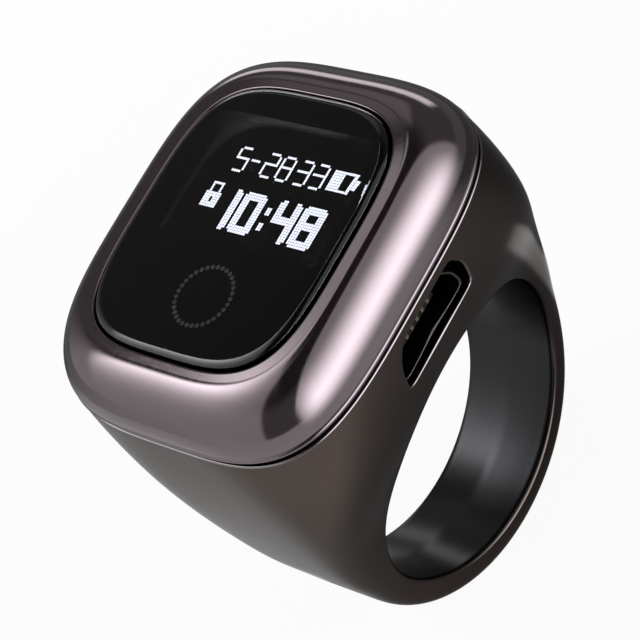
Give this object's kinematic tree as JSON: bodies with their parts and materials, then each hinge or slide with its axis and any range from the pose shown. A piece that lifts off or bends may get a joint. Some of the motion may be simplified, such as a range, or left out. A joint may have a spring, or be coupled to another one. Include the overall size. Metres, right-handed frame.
{
  "type": "digital tasbih counter ring",
  "caption": "Polished signet-style finger ring with a lit dot display under a press-to-count glass key, a side charging socket and a round finger hole.",
  "frame": {"origin": "centre of the finger hole, on its axis", "axes": "+X along the finger hole towards the charging socket's side, +Y up on the display, +Z out through the lens"},
  "size_m": [0.0232, 0.0274, 0.0358],
  "materials": {
    "gunmetal": "polished dark plating",
    "lens_glass": "smoked glass, gloss",
    "seal_rubber": "matte",
    "black_plastic": "fine matte",
    "display_glass": "black glass with lit dots",
    "amber_film": "thin film with copper lines",
    "board_green": "solder mask",
    "chip_black": "moulded",
    "ceramic": "fired",
    "plain_steel": "stamped",
    "gold_plate": "plated",
    "cell_foil": "foil pouch",
    "magnet_grey": "sintered"
  },
  "bodies": {
    "ring": {"ring_body": "gunmetal", "bezel_cover": "gunmetal", "seam_gasket": "seal_rubber", "lens_seal": "seal_rubber", "display_frame": "black_plastic", "frame_screws": "plain_steel", "oled_glass": "display_glass", "oled_driver": "chip_black", "oled_flex": "amber_film", "fpc_connector": "ceramic", "main_pcb": "board_green", "soc_chip": "chip_black", "crystal": "plain_steel", "charger_chip": "chip_black", "passives": "ceramic", "antenna": "ceramic", "switch_base": "black_plastic", "switch_dome": "plain_steel", "switch_cover": "plain_steel", "usb_shell": "plain_steel", "usb_tongue": "black_plastic", "usb_contacts": "gold_plate", "battery": "cell_foil", "battery_pad": "seal_rubber", "battery_tabs": "plain_steel", "motor_pad": "seal_rubber", "motor_base": "plain_steel", "motor_magnet": "magnet_grey", "motor_shaft": "plain_steel", "motor_can": "plain_steel"},
    "key": {"lens": "lens_glass", "key_carrier": "black_plastic"},
    "plunger": {"switch_plunger": "black_plastic"},
    "rotor": {"motor_rotor": "black_plastic", "motor_weight": "magnet_grey"}
  },
  "joints": [
    {"name": "key_press", "type": "slide", "parent": "ring", "child": "key", "axis": [0, 0, -1], "range_m": [0, 0.00025], "stiffness_N_per_m": 800, "springref_m": -0.0005},
    {"name": "plunger_press", "type": "slide", "parent": "ring", "child": "plunger", "axis": [0, 0, -1], "range_m": [0, 0.00025]},
    {"name": "motor_spin", "type": "hinge", "parent": "ring", "child": "rotor", "pos_m": [-0.0029, 0.0052, 0.015], "axis": [0, 0, 1], "continuous": true}
  ],
  "couplings": [
    {"joint": "plunger_press", "follows": "key_press", "ratio": 1}
  ]
}
